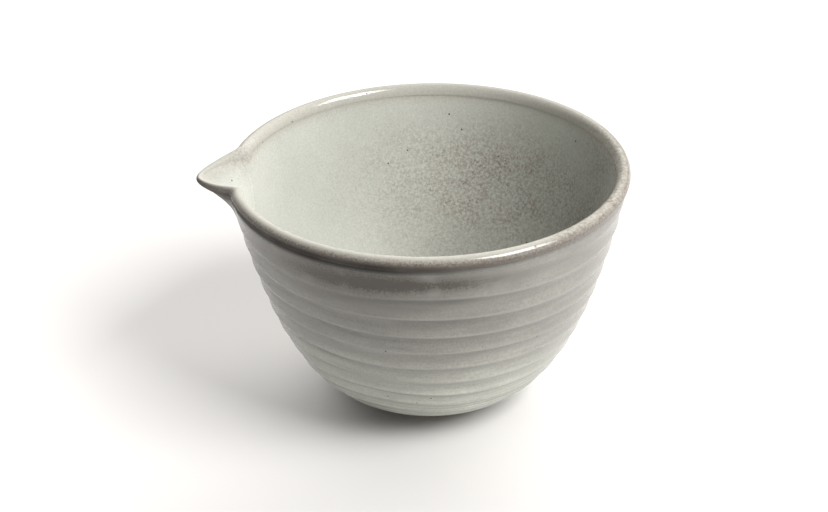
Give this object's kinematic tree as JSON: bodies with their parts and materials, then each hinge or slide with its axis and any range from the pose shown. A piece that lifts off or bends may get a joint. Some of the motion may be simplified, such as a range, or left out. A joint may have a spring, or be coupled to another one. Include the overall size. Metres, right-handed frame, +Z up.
{
  "type": "mixing bowl",
  "caption": "Deep stoneware mixing bowl with throwing ridges outside, a rolled rim, a pulled pouring spout and a bare clay foot ring.",
  "frame": {"origin": "On the surface that the bowl stands on, under the centre of its outline with the spout. The bowl's own axis stands 8.4 mm towards +X of it.", "axes": "+Z up through the open top. The spout points along -X. The bowl is the same on both sides of the XZ plane."},
  "size_m": [0.2368, 0.22, 0.1375],
  "materials": {
    "speckled_glaze": "gloss",
    "bare_stoneware": "matte"
  },
  "bodies": {
    "root": {"bowl_body": "speckled_glaze", "pour_spout": "speckled_glaze", "foot_ring": "bare_stoneware"}
  },
  "joints": []
}
